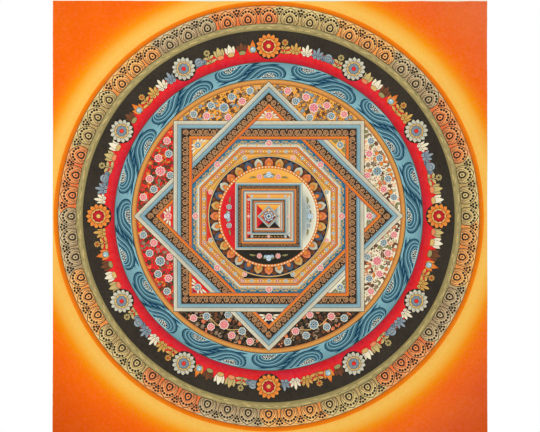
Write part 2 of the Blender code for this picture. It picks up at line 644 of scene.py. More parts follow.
def sea_band(painting):
    """The blue band: streams between waves that roll in from its inner edge and its outer one."""
    step = 360 / SWELL_COUNT
    for k in range(SWELL_COUNT):
        stream(painting, step * k, False)
        stream(painting, step * (k + 0.5), True)
    for k in range(SWELL_COUNT):
        swell(on_ring(painting, INNER_SHORE, step * k, SWELL_SIZE, bent=True))
        swell(on_ring(painting, OUTER_SHORE, step * (k + 0.5), SWELL_SIZE, flip=-1, upright=False))
    for edge in (SEA_OUT + 0.9, GOLD_OUT + 0.4):
        ring(painting, edge, edge - 1.3, "umber")


GOLD_PEARLS = 144


def gold_band(painting):
    """The golden ring round the middle, with fine lines and a row of small pearls."""
    for radius in (GOLD_OUT - 1.6, FIELD_OUT + 1.9):
        ring(painting, radius, radius - 0.4, "brown")
    for _, hand in round_ring(painting, (GOLD_OUT + FIELD_OUT) / 2, GOLD_PEARLS):
        hand.dot(0, 0, 0.95, "tangerine", 6)


# ---------------- the flowering ground

Quarter = namedtuple("Quarter", "sectors ground fade leaves stem")
PALE_FADE, RED_FADE = RoundFade(252, 130), RoundFade(200, 60)
QUARTERS = (
    Quarter((67.5, 112.5), "marigold", PALE_FADE, "taupe taupe brown grey_blue umber", "brown"),
    Quarter((-22.5, 22.5), "cream", PALE_FADE, "taupe tangerine coral brown olive", "taupe"),
    Quarter((157.5, 202.5), "red", RED_FADE, "taupe tangerine umber brown brown", "umber"),
    Quarter((247.5, 292.5), "ink", PALE_FADE, "umber taupe brown coral umber", "ochre"),
)
Bloom = namedtuple("Bloom", "along out radius petals")
BLOOMS = (
    Bloom(0, 0, 7.2, 8), Bloom(0, -17, 5.2, 7), Bloom(17, 12, 5.6, 7), Bloom(31, 1, 5.6, 7),
    Bloom(46, 15, 5.4, 7),
)
BLOOM_COLOURS = (("rose", "red"), ("azure", "navy"))
SPRAY_RADIUS = 189.0
FILL_ROWS = tuple(151.6 + 7.0 * k for k in range(9))
FILL_PITCH = 8.3
FILL_HALF = 22.5 - 0.9
FILL_KINDS = ("pair", "curl", "lobed", "lobed", "seeds")
LOBED_LEAF = (
    (0.1, -3.6), (0.9, -1.4), (3.3, -1.5), (1.9, 0.5), (2.4, 2.4), (0.2, 3.9), (-2.4, 2.4), (-1.9, 0.5),
    (-3.1, -1.6), (-0.8, -1.4),
)
SEEDS = ((-1.8, -1.0), (1.8, -1.0), (0, 1.9))


def fill_bit(hand, colours):
    """One of the small things that fill the ground between the flowers."""
    kind = random.choice(FILL_KINDS)
    colour = random.choice(colours)
    if kind == "pair":
        for turn in (-40, 40):
            leaf(hand.moved(0, -2.4, turn), 6.2, 3.0, colour, 0.35)
        hand.dot(0, -2.6, 0.8, random.choice(colours), 5)
    elif kind == "curl":
        hand.brush(spiral(3.4, 1.1, 0.9, 0, 8), 2.0, colour, "tail")
        hand.dot(0, 0, 1.0, random.choice(colours), 5)
    elif kind == "lobed":
        hand.edged(LOBED_LEAF, colour, 0.45, (4, -4))
    else:
        for u, v in SEEDS:
            hand.dot(u, v, 1.25, colour, 5)


def flower_field(painting):
    """The ground round the star in four colours, thick with flowering sprays."""
    for quarter in QUARTERS:
        for degrees in quarter.sectors:
            sector(painting, FIELD_OUT, 100, degrees, quarter.ground, quarter.fade)
    for quarter in QUARTERS:
        for number, degrees in enumerate(quarter.sectors):
            fill_ground(painting, degrees, quarter.leaves.split())
            spray(painting, degrees, quarter.stem, number)


def fill_ground(painting, degrees, colours):
    """Leaves, curls and seeds over one sector, each one turned its own way."""
    for row, radius in enumerate(FILL_ROWS):
        count = round(radius * pi / 4 / FILL_PITCH)
        for k in range(count):
            turn = degrees - 22.5 + 45 * (k + 0.25 + 0.5 * (row % 2)) / count
            place = radius + random.uniform(-1.0, 1.0), turn + random.uniform(-0.3, 0.3)
            if abs(turn - degrees) < FILL_HALF:
                hand = on_ring(painting, *place)
                fill_bit(hand.moved(0, 0, random.uniform(0, 360), random.uniform(1.0, 1.24)), colours)


def spray(painting, degrees, stem, number):
    """A flowering spray that spreads to both sides of its largest flower."""
    hands = [on_ring(painting, SPRAY_RADIUS, degrees, flip=side, bent=True) for side in (-1, 1)]
    for hand in hands:
        vine = path((0, 0), ((9, 14), (22, -6), (31, 2)), ((38, 8), (47, 17), (59, 16)), steps=6)
        hand.brush(vine, 1.5, stem, "tail")
    for hand in hands:
        for k, bloom in enumerate(BLOOMS):
            if hand.flip > 0 or bloom.along:
                body, heart = BLOOM_COLOURS[(k + number) % 2]
                flower(hand.moved(bloom.along, bloom.out), bloom.radius, body, heart, bloom.petals, 0.7)


# ---------------- strips along straight sides

Strip = namedtuple("Strip", "width pigment washes", defaults=((0.0, 0.0),))
NET = "net"
SCROLL_SHARE = 0.44


def side_strips(hand, half, strips, sides=4, low=None, high=None):
    """The strips along one side of a frame, mitred at its corners or cut at low and high. A
    strip's washes are those at its outer and its inner edge."""
    mitre = tan(pi / sides)
    at = half
    for strip in strips:
        inner = at - strip.width
        left = [-height * mitre if low is None else low for height in (at, inner)]
        right = [height * mitre if high is None else high for height in (at, inner)]
        outline = [(left[0], at), (left[1], inner), (right[1], inner), (right[0], at)]
        first, last = strip.washes
        if first == last:
            hand.fill(outline, "ink" if strip.pigment == NET else strip.pigment, wash=first)
        else:
            none = at + first * strip.width / (last - first)
            hand.fill(outline, strip.pigment, (none, none - strip.width / (last - first)))
        if strip.pigment == NET:
            net(hand, left[1], right[1], inner, strip.width)
        at = inner


def net(hand, left, right, foot, width):
    """Round golden scrolls side by side on black, with a leaf in each gap between two."""
    count = max(round((right - left) / (width * 0.98)), 1)
    pitch = (right - left) / count
    half, low, high = width * 0.12, width * 0.03, width * 0.34
    for k in range(count):
        one = hand.moved(left + (k + 0.5) * pitch, foot + width * 0.5, flip=1 if k % 2 else -1)
        scroll(one, min(pitch, width) * SCROLL_SHARE)
        if k:
            for side in (-1, 1):
                gap = hand.moved(left + k * pitch, foot + width * (0.5 + side * 0.5), 90 + side * 90)
                gap.fill([(0, high), (-half, low), (half, low)], "bronze")


def scroll(hand, radius):
    """One round scroll, with fewer turns where it is small."""
    turns, corners = (1.75, 12) if radius > 3 else (1.1, 8)
    curl = spiral(radius, radius * 0.3, turns, 200, corners)
    hand.brush(curl, radius * 0.25, "bronze", "even")
    hand.dot(0, 0, radius * 0.17, "bronze", 5)


def frame_strips(painting, half, turn, strips, sides=4):
    """A frame of strips, and the distance from the middle to its inner edge."""
    hands = [Hand(painting, turn=radians(turn + 360 / sides * k)) for k in range(sides)]
    for hand in hands:
        side_strips(hand, half, strips, sides)
    at = half
    for strip in strips:
        if strip.pigment == NET:
            for hand in hands:
                scroll(hand.moved(at - strip.width / 2, at - strip.width / 2), strip.width * SCROLL_SHARE)
        at -= strip.width
    return at


# ---------------- the star in the middle

STAR_HALF = 154.0
STAR_STRIPS = (
    Strip(0.9, "umber"), Strip(5.7, "stone", (0.0, 0.6)), Strip(1.1, "slate"),
    Strip(4.9, "sky", (0.1, 0.9)), Strip(1.1, "umber"), Strip(11.4, NET), Strip(0.6, "umber"),
    Strip(4.5, "tangerine", (0.4, 1.0)), Strip(0.9, "slate"),
)
OCTAGON_STRIPS = (
    Strip(11.0, "water", (1.7, 0.0)), Strip(0.8, "slate"), Strip(2.8, "tangerine", (0.2, 1.0)),
    Strip(0.8, "slate"), Strip(7.2, "amber", (0.3, 1.2)), Strip(0.7, "slate"),
)
# The eight points of the star, from the right one on against the clock.
TIP_COLOURS = ("water", "marigold", "tangerine", "marigold", "red", "red", "ink", "water")
TIP_LEAVES = ((6, 3.4, 78, 10), (6, 5.6, 50, 7), (3.4, 8, 20, 7))
GREEN_TIPS = (0, 1, 7)


def star_frames(painting):
    """Two square frames, one turned by half a right angle, that pass over and under each other."""
    for turn in (0, 45):
        for k in range(4):
            tip_ground(painting, turn + 45 + 90 * k)
        inner = frame_strips(painting, STAR_HALF, turn, STAR_STRIPS)
    depth = STAR_HALF - inner
    cross = STAR_HALF * tan(pi / 8)
    for k in range(4):
        hand = Hand(painting, turn=radians(90 * k))
        low, high = cross - depth * sqrt(2) - 3, cross + depth + 3
        side_strips(hand, STAR_HALF, STAR_STRIPS, low=low, high=high)
    return inner


def tip_ground(painting, degrees):
    """The ground of one point of the star, deeper towards its tip."""
    hand = on_ring(painting, STAR_HALF, degrees)
    hand.fill([(-34, 0), (34, 0), (0, 34)], TIP_COLOURS[degrees % 360 // 45], (0, 30))


def tip_flowers(painting):
    """A flower between leaves in each point of the star."""
    for k, hand in round_ring(painting, STAR_HALF + 1.5, 8):
        for side in (-1, 1):
            for u, v, turn, long in TIP_LEAVES:
                one = hand.moved(side * u, v, -side * turn, flip=side)
                leaf(one, long, 3.2, "olive" if k in GREEN_TIPS else "cream", 0.3)
        flower(hand.moved(0, 6.6), 5.4, ("rose", "azure")[k % 2], "ochre", 7)


def octagon(half):
    """An octagon that stands on a side, from half its height."""
    corner = half / cos(pi / 8)
    return [(corner * cos(pi / 8 + pi / 4 * k), corner * sin(pi / 8 + pi / 4 * k)) for k in range(8)]


LOTUS_PETALS = 32
LOTUS_DEPTH = 14.0
LOTUS_INSET = 2.8
LOTUS_COLOURS = ("coral", "stone", "slate", "ochre")
LOTUS_LINES = ((0, "umber"), (0.5, "ochre"), (2.0, "slate"), (2.5, "navy"))
WEDGE_COLOURS = ("cream", "amber", "marigold", "amber", "red", "amber", "ink", "amber")
LEAF_PLACES = (8.0, 15.4, 22.8, 30.2, 37.6, 44.4)
# The middles of the octagon's blue and golden bands, out from what they enclose.
BLUE_INSET = 17.9
GOLD_INSET = 4.3


def star_heart(painting, half):
    """What the star holds: two straight bands, wedges of ground and a round of petals."""
    painting.lay(octagon(half), "cream")
    half = frame_strips(painting, half, 0, OCTAGON_STRIPS, sides=8)
    octagon_motifs(painting, half)
    corner = half * tan(pi / 8)
    for k, pigment in enumerate(WEDGE_COLOURS):
        hand = Hand(painting, turn=radians(45 * k) - pi / 2)
        wedge = [(-9, 22), (9, 22), (corner, half), (-corner, half)]
        hand.fill(wedge, pigment, (half * 1.02, half * 0.86))
    for k, hand in round_ring(painting, half * 1.015, 8, 0.5):
        flower(hand, 3.4, ("azure", "rose")[k % 2], "gold", 6)
    return lotus_round(painting, half * 0.985)


def lotus_round(painting, outer):
    """A round of petals with others behind them, inside a golden line."""
    for inset, pigment in LOTUS_LINES:
        painting.lay(disc(outer - inset, 160), pigment)
    inner = outer - LOTUS_INSET - LOTUS_DEPTH
    for _, hand in round_ring(painting, inner, LOTUS_PETALS, 0.5):
        hand.edged(petal(LOTUS_DEPTH, 12, 0.6, 0.6, 0.4), "brown", fade=(18, 6))
    for k, hand in round_ring(painting, inner, LOTUS_PETALS):
        colour = LOTUS_COLOURS[k % len(LOTUS_COLOURS)]
        hand.edged(petal(LOTUS_DEPTH - 1, 13.4, 0.7, 0.42, 0.4), colour, LINE, (16, 0))
        hand.edged(petal(7.2, 6.4, 0.6, 0.45, 0.4, steps=2), "tangerine", 0.34, (0, 8))
    return inner


def octagon_motifs(painting, half):
    """Leafy scrolls on the blue band of the octagon, and pearls on its golden one."""
    for k in range(8):
        blue = Hand(painting, turn=radians(45 * k)).moved(0, half + BLUE_INSET)
        for side in (-1, 1):
            for j, u in enumerate(LEAF_PLACES):
                one = blue.moved(side * u, 0, -side * 90, flip=side)
                start = -70 if j % 2 else 110
                one.brush(spiral(3.5, 1.1, 0.95, start, 8), 1.2, "gold", "tail")
                leaf(one.moved(0, 2.6, -50 if j % 2 else 50), 5.8, 2.5, "gold")
        flower(blue, 4.8, "rose", "gold", 7)
        gold = Hand(painting, turn=radians(45 * k)).moved(0, half + GOLD_INSET)
        for j in range(-9, 10):
            one = gold.moved(4.6 * j, 0)
            if j % 3:
                one.dot(0, 0, 0.9, "cream", 5)
            else:
                flower(one, 2.7, ("azure", "red")[j % 2], "foam", 6, 0.26)


SQUARE_STRIPS = (
    Strip(0.4, "umber"), Strip(1.9, "stone", (0.0, 0.6)), Strip(0.4, "slate"),
    Strip(1.8, "sky", (0.2, 0.9)), Strip(0.5, "slate"), Strip(5.2, NET), Strip(0.4, "umber"),
    Strip(2.2, "tangerine", (0.0, 0.8)), Strip(0.4, "slate"), Strip(4.2, "water", (1.3, 0.0)),
    Strip(0.4, "slate"), Strip(1.3, "tangerine", (0.0, 0.8)), Strip(0.4, "slate"),
)
SMALL_STRIPS = (
    Strip(0.3, "umber"), Strip(1.3, "stone", (0.0, 0.6)), Strip(0.3, "slate"),
    Strip(1.3, "sky", (0.2, 0.9)), Strip(0.3, "slate"), Strip(2.4, NET),
    Strip(1.1, "tangerine", (0.0, 0.8)), Strip(0.3, "slate"), Strip(2.4, "water", (1.2, 0.0)),
    Strip(0.3, "slate"), Strip(0.9, "tangerine", (0.0, 0.8)), Strip(0.3, "slate"),
)
DIAMOND_STRIPS = (
    Strip(0.3, "umber"), Strip(1.2, "stone", (0.0, 0.6)), Strip(0.3, "slate"),
    Strip(1.2, "sky", (0.2, 0.9)), Strip(0.3, "slate"), Strip(0.9, "tangerine", (0.0, 0.8)),
    Strip(0.3, "slate"),
)
BEAD_COUNT = 96
BEAD_LINES = ((-0.6, "umber", 0.0), (0, "tangerine", 0.4), (3.6, "umber", 0.0))
FLOOR_COLOURS = ("marigold", "red", "ink", "water")
FLOOR_WIDTH = 5.0
FLOOR_CURL = ((-1.8, -0.8), (-1.0, 0.9), (0.7, 0.8), (1.6, -0.7))


def floor_of(painting, half, turn, motifs=False):
    """A square in four wedges, one of each quarter's colour."""
    for k, pigment in enumerate(FLOOR_COLOURS):
        hand = Hand(painting, turn=radians(turn + 90 * k))
        inner = half * 0.1
        wedge = [(-inner, inner), (inner, inner), (half, half), (-half, half)]
        hand.fill(wedge, pigment, (half + 1, half - 9))
        if motifs:
            floor_motifs(hand, half)


def floor_motifs(hand, half):
    """Small golden curls along one side of a floor, with a flower after every fourth."""
    for j in range(-5, 6):
        one = hand.moved(5.4 * j, half - FLOOR_WIDTH / 2)
        if j % 5:
            one.moved(0, 0, flip=1 if j > 0 else -1).brush(FLOOR_CURL, 1.0, "gold", "tail")
        else:
            flower(one, 2.2, ("rose", "azure")[j % 2], "foam", 6, 0.26)


def lunes(painting, radius):
    """The four pieces of ground between the beads and the square, with a cloud and flowers."""
    for k, pigment in enumerate(FLOOR_COLOURS):
        degrees = 90 + 90 * k
        sector(painting, radius, 8, degrees, pigment, RoundFade(radius, 50), 45)
        hand = on_ring(painting, radius * 0.87, degrees)
        cloud(hand.moved(0, -4.6), 12, "foam", "slate")
        for side in (-1, 1):
            flower(hand.moved(side * 15, -3.4), 4.0, ("rose", "azure")[k % 2], "gold", 7, 0.3)
            leaf(hand.moved(side * 20, -4.6, -side * 80, flip=side), 11, 3.0, "olive", 0.26)
            leaf(hand.moved(side * 10, -1, side * 60, flip=-side), 6, 2.4, "olive", 0.26)


def inner_squares(painting, radius):
    """Beads, then squares and a turned square round a small lotus, each inside the last."""
    for inset, pigment, wash in BEAD_LINES:
        painting.lay(disc(radius - inset, 120), pigment, wash)
    for _, hand in round_ring(painting, radius - 1.8, BEAD_COUNT):
        hand.dot(0, 0, 1.15, "cream", 6)
    radius -= 4.1
    lunes(painting, radius)
    half = frame_strips(painting, radius / sqrt(2) - 0.3, 0, SQUARE_STRIPS)
    floor_of(painting, half, 0, motifs=True)
    half = frame_strips(painting, half - FLOOR_WIDTH, 0, SMALL_STRIPS)
    floor_of(painting, half, 0)
    half = frame_strips(painting, half / sqrt(2), 45, DIAMOND_STRIPS)
    floor_of(painting, half, 45)
    rosette(Hand(painting), half * 0.96, "lavender", "foam", "navy", 8)


# Where the strip of bare cloth starts, across from the cloth's middle, and its number of steps.
SLIVER_START = -225
SLIVER_STEPS = 44


def bare_sliver(painting):
    """The strip of bare cloth that the ground leaves along the top edge."""
    top = CENTRE_DOWN / MM
    left, right = SLIVER_START - CENTRE_ACROSS / MM, WIDTH / MM / 2 - CENTRE_ACROSS / MM
    low = []
    for k in range(SLIVER_STEPS + 1):
        share = k / SLIVER_STEPS
        deep = 0.5 + 0.9 * eased(share * 6) + 0.28 * sin(share * 37) + 0.2 * sin(share * 91)
        low.append((left + (right - left) * share, top - deep))
    painting.lay(low + [(right, top), (left, top)], "bare_cloth")


def whole_painting():
    """Every shape of the painting, in the order in which it is laid."""
    painting = Painting()
    painting.lay(rectangle(LEFT, LOW, LEFT + WIDTH / MM, LOW + DROP / MM, 10.0), "ground")
    for part in (
        bare_sliver, lay_bands, petal_border, cord_band, sea_band, gold_band, ornament_row, lotuses,
        flower_field,
    ):
        part(painting)
    half = star_frames(painting)
    tip_flowers(painting)
    inner_squares(painting, star_heart(painting, half))
    return painting


def rectangle(left, low, right, high, pitch):
    """A rectangle against the clock, with a point about every pitch."""
    points = []
    for (ax, ay), (bx, by) in sides_of([(left, low), (right, low), (right, high), (left, high)]):
        steps = round((abs(bx - ax) + abs(by - ay)) / pitch)
        points += [(ax + (bx - ax) * k / steps, ay + (by - ay) * k / steps) for k in range(steps)]
    return points


# ---------------- the sheet

GRID_PITCH = 16.0
BACK_PITCH = 18.0
CUT_TOLERANCE = 0.0001
STRAIGHT_WITHIN = 0.03
LONGEST_SIDE = 18.0
ASTRAY_SHARE = 0.1
ASTRAY_AREA = 0.3


def inner_grid(pitch):
    """Points spread over the cloth, so that its faces follow the ripples."""
    across, up = round(WIDTH / MM / pitch), round(DROP / MM / pitch)
    return [
        (LEFT + WIDTH / MM * i / across, LOW + DROP / MM * j / up)
        for i in range(1, across)
        for j in range(1, up)
    ]


def cut(points, lines, outlines):
    """The flat cloth cut along lines and outlines: its points, its triangles and, for each one, the
    outlines that it lies in."""
    found = delaunay_2d_cdt(points, lines, outlines, 1, CUT_TOLERANCE, True)
    return found[0], found[2], found[5]


def shown_lines(faces, top):
    """The sides of faces along which two different shapes meet, or the cloth ends."""
    shape_beside = {(f[k - 1], f[k]): t for f, t in zip(faces, top) for k in range(3)}
    return [
        (a, b)
        for (a, b), shape in shape_beside.items()
        if (b, a) not in shape_beside or (a < b and shape_beside[b, a] != shape)
    ]


def without_needless(lines, points):
    """The same lines with the points left out that lie straight between their two neighbours."""
    beside = {}
    for a, b in lines:
        beside.setdefault(a, set()).add(b)
        beside.setdefault(b, set()).add(a)
    for at in list(beside):
        if len(beside[at]) != 2:
            continue
        a, b = beside[at]
        (ax, ay), (bx, by), (x, y) = points[a], points[b], points[at]
        long = hypot(bx - ax, by - ay)
        off = abs((bx - ax) * (y - ay) - (by - ay) * (x - ax)) / long
        if off < STRAIGHT_WITHIN and b not in beside[a] and long < LONGEST_SIDE:
            beside[a].remove(at)
            beside[b].remove(at)
            beside[a].add(b)
            beside[b].add(a)
            del beside[at]
    return [(a, b) for a, near in beside.items() for b in near if a < b]


def middle_of(points, face):
    """The middle of a triangle."""
    return tuple(sum(points[k][i] for k in face) / 3 for i in (0, 1))


def inside(outline, x, y):
    """Whether a point lies in an outline."""
    within = False
    for (ax, ay), (bx, by) in sides_of(outline):
        if (ay > y) != (by > y) and x < ax + (y - ay) / (by - ay) * (bx - ax):
            within = not within
    return within


def top_shapes(painting, points, faces, owners):
    """The highest shape over each face. Where a shape's faces don't add up to its own area, the
    cut has gone astray along a shared line, and the middles of the faces are tested instead."""
    own = [0.5 * signed_area([painting.points[k] for k in outline]) for outline in painting.outlines]
    found_area = [0.0] * len(own)
    for face, found in zip(faces, owners):
        area = 0.5 * signed_area([tuple(points[k]) for k in face])
        for shape in found:
            found_area[shape] += area
    astray = [
        k for k, area in enumerate(own)
        if abs(found_area[k] - area) > ASTRAY_SHARE * area + ASTRAY_AREA
    ]
    top = [max(shape for shape in found if shape not in astray) for found in owners]
    middles = [middle_of(points, face) for face in faces]
    for shape in astray:
        outline = [painting.points[k] for k in painting.outlines[shape]]
        low, high = min(p[1] for p in outline), max(p[1] for p in outline)
        for k, (x, y) in enumerate(middles):
            if top[k] < shape and low < y < high and inside(outline, x, y):
                top[k] = shape
    return top


def painted_cut(painting):
    """The cloth's front cut along the lines that show, and the top shape of each face."""
    points, faces, owners = cut(painting.points, [], painting.outlines)
    top = top_shapes(painting, points, faces, owners)
    finder = BVHTree.FromPolygons([(x, y, 0.0) for x, y in points], faces)
    lines = without_needless(shown_lines(faces, top), points)
    used = sorted({k for line in lines for k in line})
    place = {k: i for i, k in enumerate(used)}
    kept = [points[k] for k in used] + inner_grid(GRID_PITCH)
    kept_lines = [(place[a], place[b]) for a, b in lines]
    border = [place[k] for k in border_of(faces) if k in place]
    points, faces, _ = cut(kept, kept_lines, [border])
    shapes = []
    for face in faces:
        hit = finder.ray_cast((*middle_of(points, face), 1.0), (0, 0, -1))
        shapes.append(painting.shapes[top[hit[2]]])
    return points, faces, shapes


def border_of(faces):
    """The points round the edge of a cut cloth, against the clock."""
    sides = {(f[k - 1], f[k]) for f in faces for k in range(3)}
    after = {a: b for a, b in sides if (b, a) not in sides}
    start = next(iter(after))
    border, at = [start], after[start]
    while at != start:
        border.append(at)
        at = after[at]
    return border


def on_cloth(point, lift):
    """A painting point, in millimetres, on the hanging cloth."""
    return hung_point(CENTRE_ACROSS + point[0] * MM, CENTRE_DOWN - point[1] * MM, lift)


# Where the sheet lies on its flat map: the front large, the back narrow beside it, the rim on top.
MapArea = namedtuple("MapArea", "left low wide high")
FRONT_AREA = MapArea(0.006, 0.006, 0.865, 0.865)
BACK_AREA = MapArea(0.881, 0.006, 0.113, 0.865)
RIM_AREA = MapArea(0.006, 0.885, 0.988, 0.100)


def on_area(area, across, up):
    """A place on the flat map, from its shares of an area's width and height."""
    return area.left + area.wide * across, area.low + area.high * up


def shares_of(point):
    """How far across and up the cloth a painting point lies, from 0 to 1."""
    return (
        0.5 + (CENTRE_ACROSS + point[0] * MM) / WIDTH,
        1.0 - (CENTRE_DOWN - point[1] * MM) / DROP,
    )


def sheet_mesh(painting):
    """The closed sheet: the painted front, the bare back and the cut rim."""
    points, faces, shapes = painted_cut(painting)
    border = border_of(faces)
    edge_points = [tuple(points[k]) for k in border]
    back_points, back_faces, _ = cut(edge_points + inner_grid(BACK_PITCH), [], [range(len(border))])
    back_faces = [face[::-1] for face in back_faces]
    behind, around = len(points), len(border)
    rim = [(border[k - 1], behind + (k - 1) % around, behind + k, border[k]) for k in range(around)]
    places = [on_cloth(p, THICKNESS) for p in points] + [on_cloth(p, 0.0) for p in back_points]
    mesh = bpy.data.meshes.new("painted_sheet")
    mesh.from_pydata(places, [], list(faces) + rim + [[behind + k for k in f] for f in back_faces])
    mesh.update()
    lay_out(mesh, corners_of(points, faces), around, corners_of(back_points, back_faces))
    return mesh, points, faces, shapes


def corners_of(points, faces):
    """The points at the corners of each face in turn."""
    return [points[k] for face in faces for k in face]


def lay_out(mesh, front, around, back):
    """The flat map, from the corners of the front faces, the number of rim faces and the corners of
    the back faces."""
    spots = [on_area(FRONT_AREA, *shares_of(point)) for point in front]
    for k in range(around):
        start, end = k / around, (k + 1) / around
        spots += [on_area(RIM_AREA, *share) for share in ((start, 1), (start, 0), (end, 0), (end, 1))]
    spots += [on_area(BACK_AREA, *shares_of(point)) for point in back]
    layer = mesh.uv_layers.new(name="OFBake")
    layer.data.foreach_set("uv", [value for spot in spots for value in spot])


def paint_faces(mesh, points, faces, shapes, slots):
    """Gives each front face its pigment, and each corner its share of wash."""
    bare = slots["bare_cloth"]
    indices = [bare] * len(mesh.polygons)
    loads = [0.0] * len(mesh.polygons)
    washes = [0.0] * len(mesh.loops)
    corner = 0
    for k, (face, shape) in enumerate(zip(faces, shapes)):
        indices[k] = slots[shape.pigment]
        loads[k] = shape.load
        for vertex in face:
            washes[corner] = wash_at(shape.wash, *points[vertex])
            corner += 1
    mesh.polygons.foreach_set("material_index", indices)
    mesh.attributes.new("load", "FLOAT", "FACE").data.foreach_set("value", loads)
    mesh.attributes.new("wash", "FLOAT", "CORNER").data.foreach_set("value", washes)


# ---------------- shader tools


def srgb(red, green, blue):
    """A display colour from 0 to 255 as the shader's own linear colour."""
    def linear(value):
        value /= 255
        return value / 12.92 if value <= 0.04045 else ((value + 0.055) / 1.055) ** 2.4
    return linear(red), linear(green), linear(blue), 1.0


class Bench:
    """Adds nodes to one tree. An input is given a number, a colour or another node's socket."""

    def __init__(self, tree):
        self.tree = tree

    def put(self, socket, value):
        if isinstance(value, bpy.types.NodeSocket):
            self.tree.links.new(value, socket)
        else:
            socket.default_value = value

    def put_all(self, sockets, **values):
        for name, value in values.items():
            self.put(sockets[name.replace("_", " ")], value)

    def node(self, kind, settings=(), **inputs):
        node = self.tree.nodes.new("ShaderNode" + kind)
        for name, value in dict(settings).items():
            setattr(node, name, value)
        self.put_all(node.inputs, **inputs)
        return node

    def maths(self, operation, a, b=0.0, clamp=False):
        node = self.node("Math", {"operation": operation, "use_clamp": clamp})
        self.put(node.inputs[0], a)
        self.put(node.inputs[1], b)
        return node.outputs[0]

    def times(self, a, b):
        return self.maths("MULTIPLY", a, b)

    def plus(self, a, b):
        return self.maths("ADD", a, b)

    def minus(self, a, b):
        return self.maths("SUBTRACT", a, b)

    def around(self, value, spread):
        """1 plus a value that lies either side of nought, times spread."""
        return self.plus(self.times(value, spread), 1.0)

    def mix(self, share, a, b):
        node = self.node("Mix", {"data_type": "RGBA", "clamp_result": True})
        for socket, value in zip((node.inputs[0], node.inputs[6], node.inputs[7]), (share, a, b)):
            self.put(socket, value)
        return node.outputs[2]

    def noise(self, at, scale, detail=2.0, rough=0.5):
        """Noise from -1 to 1 or so."""
        node = self.node("TexNoise", Vector=at, Scale=scale, Detail=detail, Roughness=rough)
        return self.plus(self.times(node.outputs[0], 4.0), -2.0)

    def step(self, value, low, high, smooth=True):
        """0 where a value is low, 1 where it is high."""
        settings = {"interpolation_type": "SMOOTHSTEP" if smooth else "LINEAR"}
        return self.node("MapRange", settings, Value=value, From_Min=low, From_Max=high).outputs[0]

    def stretched(self, at, x, y, z):
        node = self.node("VectorMath", {"operation": "MULTIPLY"})
        self.put(node.inputs[0], at)
        self.put(node.inputs[1], (x, y, z))
        return node.outputs[0]

    def group(self, group, **inputs):
        node = self.node("Group", {"node_tree": group})
        self.put_all(node.inputs, **inputs)
        return node.outputs


NUMBER, COLOUR, PLACE = "NodeSocketFloat", "NodeSocketColor", "NodeSocketVector"


def numbers(*labels):
    """Sockets that are all plain numbers."""
    return dict.fromkeys(labels, NUMBER)


def effect(inputs, outputs):
    """Makes a node group of a function that takes a bench and the sockets of the inputs and returns
    the values of the outputs. It is built the first time that a material needs it."""
    def group_of(maker):
        def build():
            tree = bpy.data.node_groups.new(maker.__name__, "ShaderNodeTree")
            for way, sockets in (("INPUT", inputs), ("OUTPUT", outputs)):
                for label, kind in sockets.items():
                    tree.interface.new_socket(label, in_out=way, socket_type=kind)
            bench = Bench(tree)
            given = list(tree.nodes.new("NodeGroupInput").outputs)[:len(inputs)]
            result = tree.nodes.new("NodeGroupOutput").inputs
            for socket, value in zip(result, maker(bench, *given)):
                bench.put(socket, value)
            return tree
        return cache(build)
    return group_of


# ---------------- shared effects

# Scales of noise count to the metre: the higher, the finer.
SLUB_FINE, SLUB_LONG = 480.0, 14.0
THREAD_WOBBLE = 0.00012
THREAD_MEAN = 0.6
SPECK_SCALE = 105.0
SPECK_SIZE = 0.075
SPECK_COLOUR = (92, 58, 34)
PRIMED_CLOTH = (236, 222, 192)
NICK_DEPTH = 0.00035


@effect({"Place": PLACE}, numbers("From Middle", "Down", "Across", "To Edge"))
def place_on_cloth(b, place):
    """Where a point lies: how far from the medallion's middle, down, across, and from the cut edge."""
    x, _, z = b.node("SeparateXYZ", Vector=place).outputs
    across, rise, down = b.plus(x, -CENTRE_ACROSS), b.plus(z, CENTRE_DOWN), b.times(z, -1.0)
    from_middle = b.maths("SQRT", b.plus(b.times(across, across), b.times(rise, rise)))
    beside = b.plus(b.times(b.maths("ABSOLUTE", x), -1.0), WIDTH / 2)
    to_edge = b.maths("MINIMUM", b.maths("MINIMUM", beside, b.plus(z, DROP)), down)
    return from_middle, down, x, to_edge


@effect({"Place": PLACE, "Threads": NUMBER}, numbers("Thread", "Slub"))
def plain_weave(b, place, threads):
    """Cotton threads that pass over and under each other, some of them thicker than others."""
    wobble = b.times(b.noise(place, 60.0), THREAD_WOBBLE)
    x, _, z = b.node("SeparateXYZ", Vector=place).outputs
    across, down = (b.maths("SINE", b.times(b.times(b.plus(way, wobble), threads), pi)) for way in (x, z))
    warp_on_top = b.maths("GREATER_THAN", b.times(across, down), 0.0)
    warp, weft = b.maths("ABSOLUTE", across), b.maths("ABSOLUTE", down)
    thread = b.plus(weft, b.times(warp_on_top, b.minus(warp, weft)))
    warp_slub = b.noise(b.stretched(place, SLUB_FINE, 0.0, SLUB_LONG), 1.0, 1.0)
    weft_slub = b.noise(b.stretched(place, SLUB_LONG, 0.0, SLUB_FINE), 1.0, 1.0)
    return thread, b.times(b.plus(warp_slub, weft_slub), 0.5)


